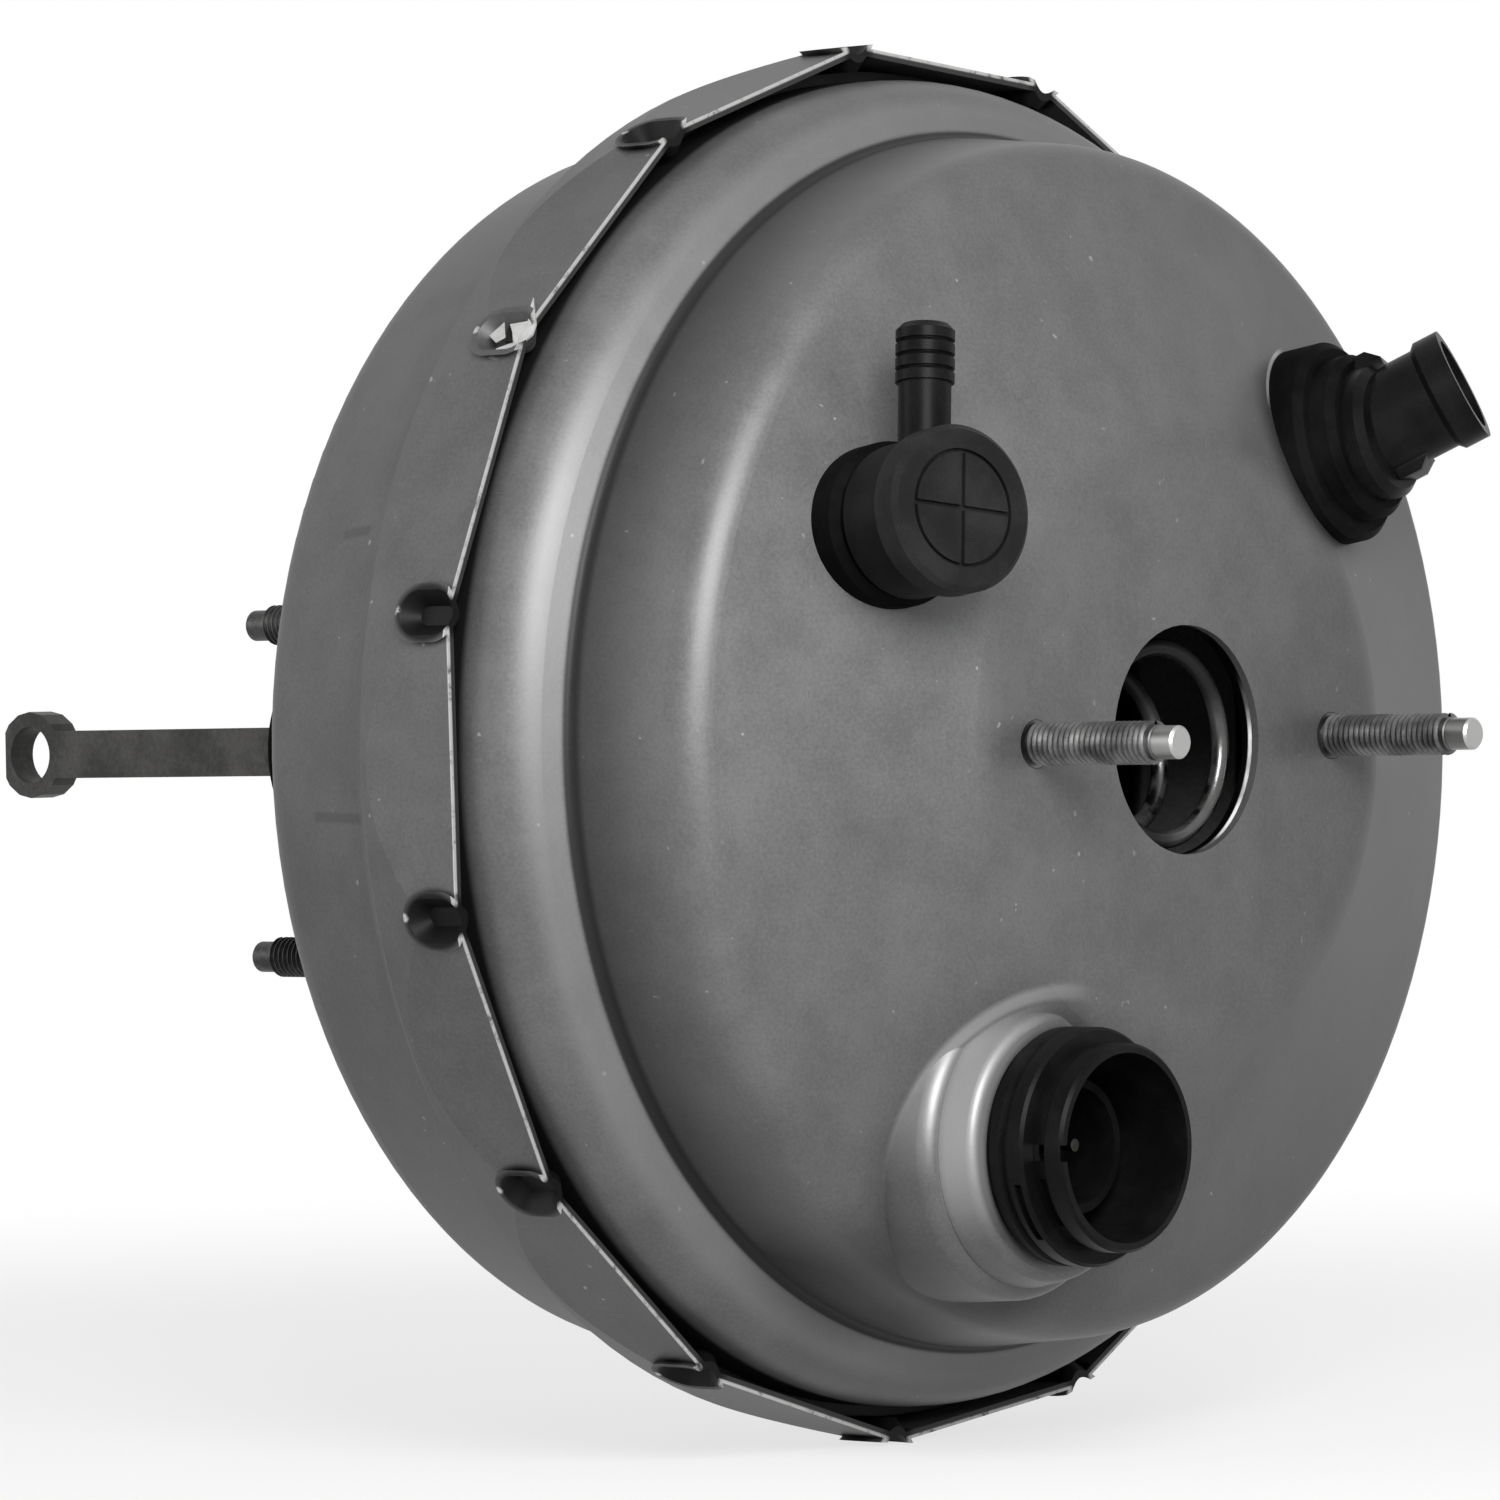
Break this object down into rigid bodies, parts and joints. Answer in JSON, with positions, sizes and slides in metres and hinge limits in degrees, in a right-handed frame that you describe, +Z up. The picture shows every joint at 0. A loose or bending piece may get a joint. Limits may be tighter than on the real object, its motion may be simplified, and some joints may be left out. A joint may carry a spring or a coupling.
{
  "type": "vacuum brake booster",
  "caption": "Tandem vacuum brake booster: pressed steel drum with pushrod and eye, check valve, travel sensor, harness socket and master cylinder studs.",
  "frame": {"origin": "centre of the firewall mounting face, on the booster's axis", "axes": "+X along the booster's axis from the firewall towards the master cylinder, +Z up along the vacuum hose barb, +Y to the side away from the check valve"},
  "size_m": [0.3543, 0.267, 0.2681],
  "materials": {
    "shell_paint": "satin",
    "zinc_steel": "satin",
    "bare_steel": "satin",
    "rod_steel": "matte",
    "black_plastic": "matte",
    "brown_phenolic": "matte",
    "black_rubber": "matte",
    "plate_aluminium": "satin",
    "copper_winding": "satin",
    "tinned_brass": "satin",
    "filter_foam": "matte"
  },
  "bodies": {
    "housing": {"front_shell": "shell_paint", "rear_shell": "shell_paint", "centre_plate": "bare_steel", "centre_plate_seal": "black_rubber", "front_reinforcement_plate": "bare_steel", "rear_reinforcement_plate": "bare_steel", "master_cylinder_studs": "zinc_steel", "firewall_studs": "zinc_steel", "rear_hub_seal": "black_rubber", "rear_seal_retainer": "black_plastic", "check_valve_grommet": "black_rubber", "sensor_grommet": "black_rubber", "sensor_body": "black_plastic", "sensor_pins": "tinned_brass", "harness_socket": "black_plastic", "harness_socket_seal": "black_rubber", "socket_pins": "tinned_brass", "dust_boot": "black_rubber", "front_diaphragm": "black_rubber", "rear_diaphragm": "black_rubber", "return_spring": "bare_steel"},
    "power_piston": {"valve_body": "brown_phenolic", "rear_diaphragm_plate": "plate_aluminium", "front_diaphragm_plate": "plate_aluminium", "solenoid_coil": "copper_winding", "reaction_disc": "black_rubber", "output_rod": "zinc_steel", "spring_seat": "bare_steel", "poppet_seal": "black_rubber", "air_filter": "filter_foam", "filter_retainer": "black_plastic"},
    "air_valve": {"air_valve_plunger": "zinc_steel"},
    "pushrod": {"pushrod": "rod_steel"},
    "check_valve": {"check_valve_body": "black_plastic", "check_valve_cap": "black_plastic", "check_valve_spring": "bare_steel"},
    "check_valve_poppet": {"check_valve_disc": "black_rubber"},
    "sensor_plunger": {"sensor_plunger": "black_plastic"}
  },
  "joints": [
    {"name": "power_piston_slide", "type": "slide", "parent": "housing", "child": "power_piston", "axis": [1, 0, 0], "range_m": [0, 0.032], "stiffness_N_per_m": 3000, "springref_m": -0.04, "deforming": ["return_spring", "front_diaphragm", "rear_diaphragm", "dust_boot"]},
    {"name": "air_valve_slide", "type": "slide", "parent": "power_piston", "child": "air_valve", "axis": [1, 0, 0], "range_m": [0, 0.0025], "stiffness_N_per_m": 8000, "springref_m": -0.003},
    {"name": "pushrod_swivel", "type": "hinge", "parent": "air_valve", "child": "pushrod", "pos_m": [0.01, 0, 0], "axis": [0, 1, 0], "range_deg": [-3, 3], "stiffness_Nm_per_rad": 8},
    {"name": "check_valve_turn", "type": "hinge", "parent": "housing", "child": "check_valve", "pos_m": [0.15407, -0.072, 0.04], "axis": [0.969, -0.2161, 0.12], "continuous": true},
    {"name": "check_valve_lift", "type": "slide", "parent": "check_valve", "child": "check_valve_poppet", "axis": [0.969, -0.2161, 0.12], "range_m": [0, 0.002], "stiffness_N_per_m": 150, "springref_m": -0.002, "deforming": ["check_valve_spring"]},
    {"name": "sensor_plunger_slide", "type": "slide", "parent": "housing", "child": "sensor_plunger", "axis": [0.969, 0.1714, 0.1781], "range_m": [0, 0.03304]}
  ],
  "couplings": [
    {"joint": "sensor_plunger_slide", "follows": "power_piston_slide", "ratio": 1.032}
  ]
}
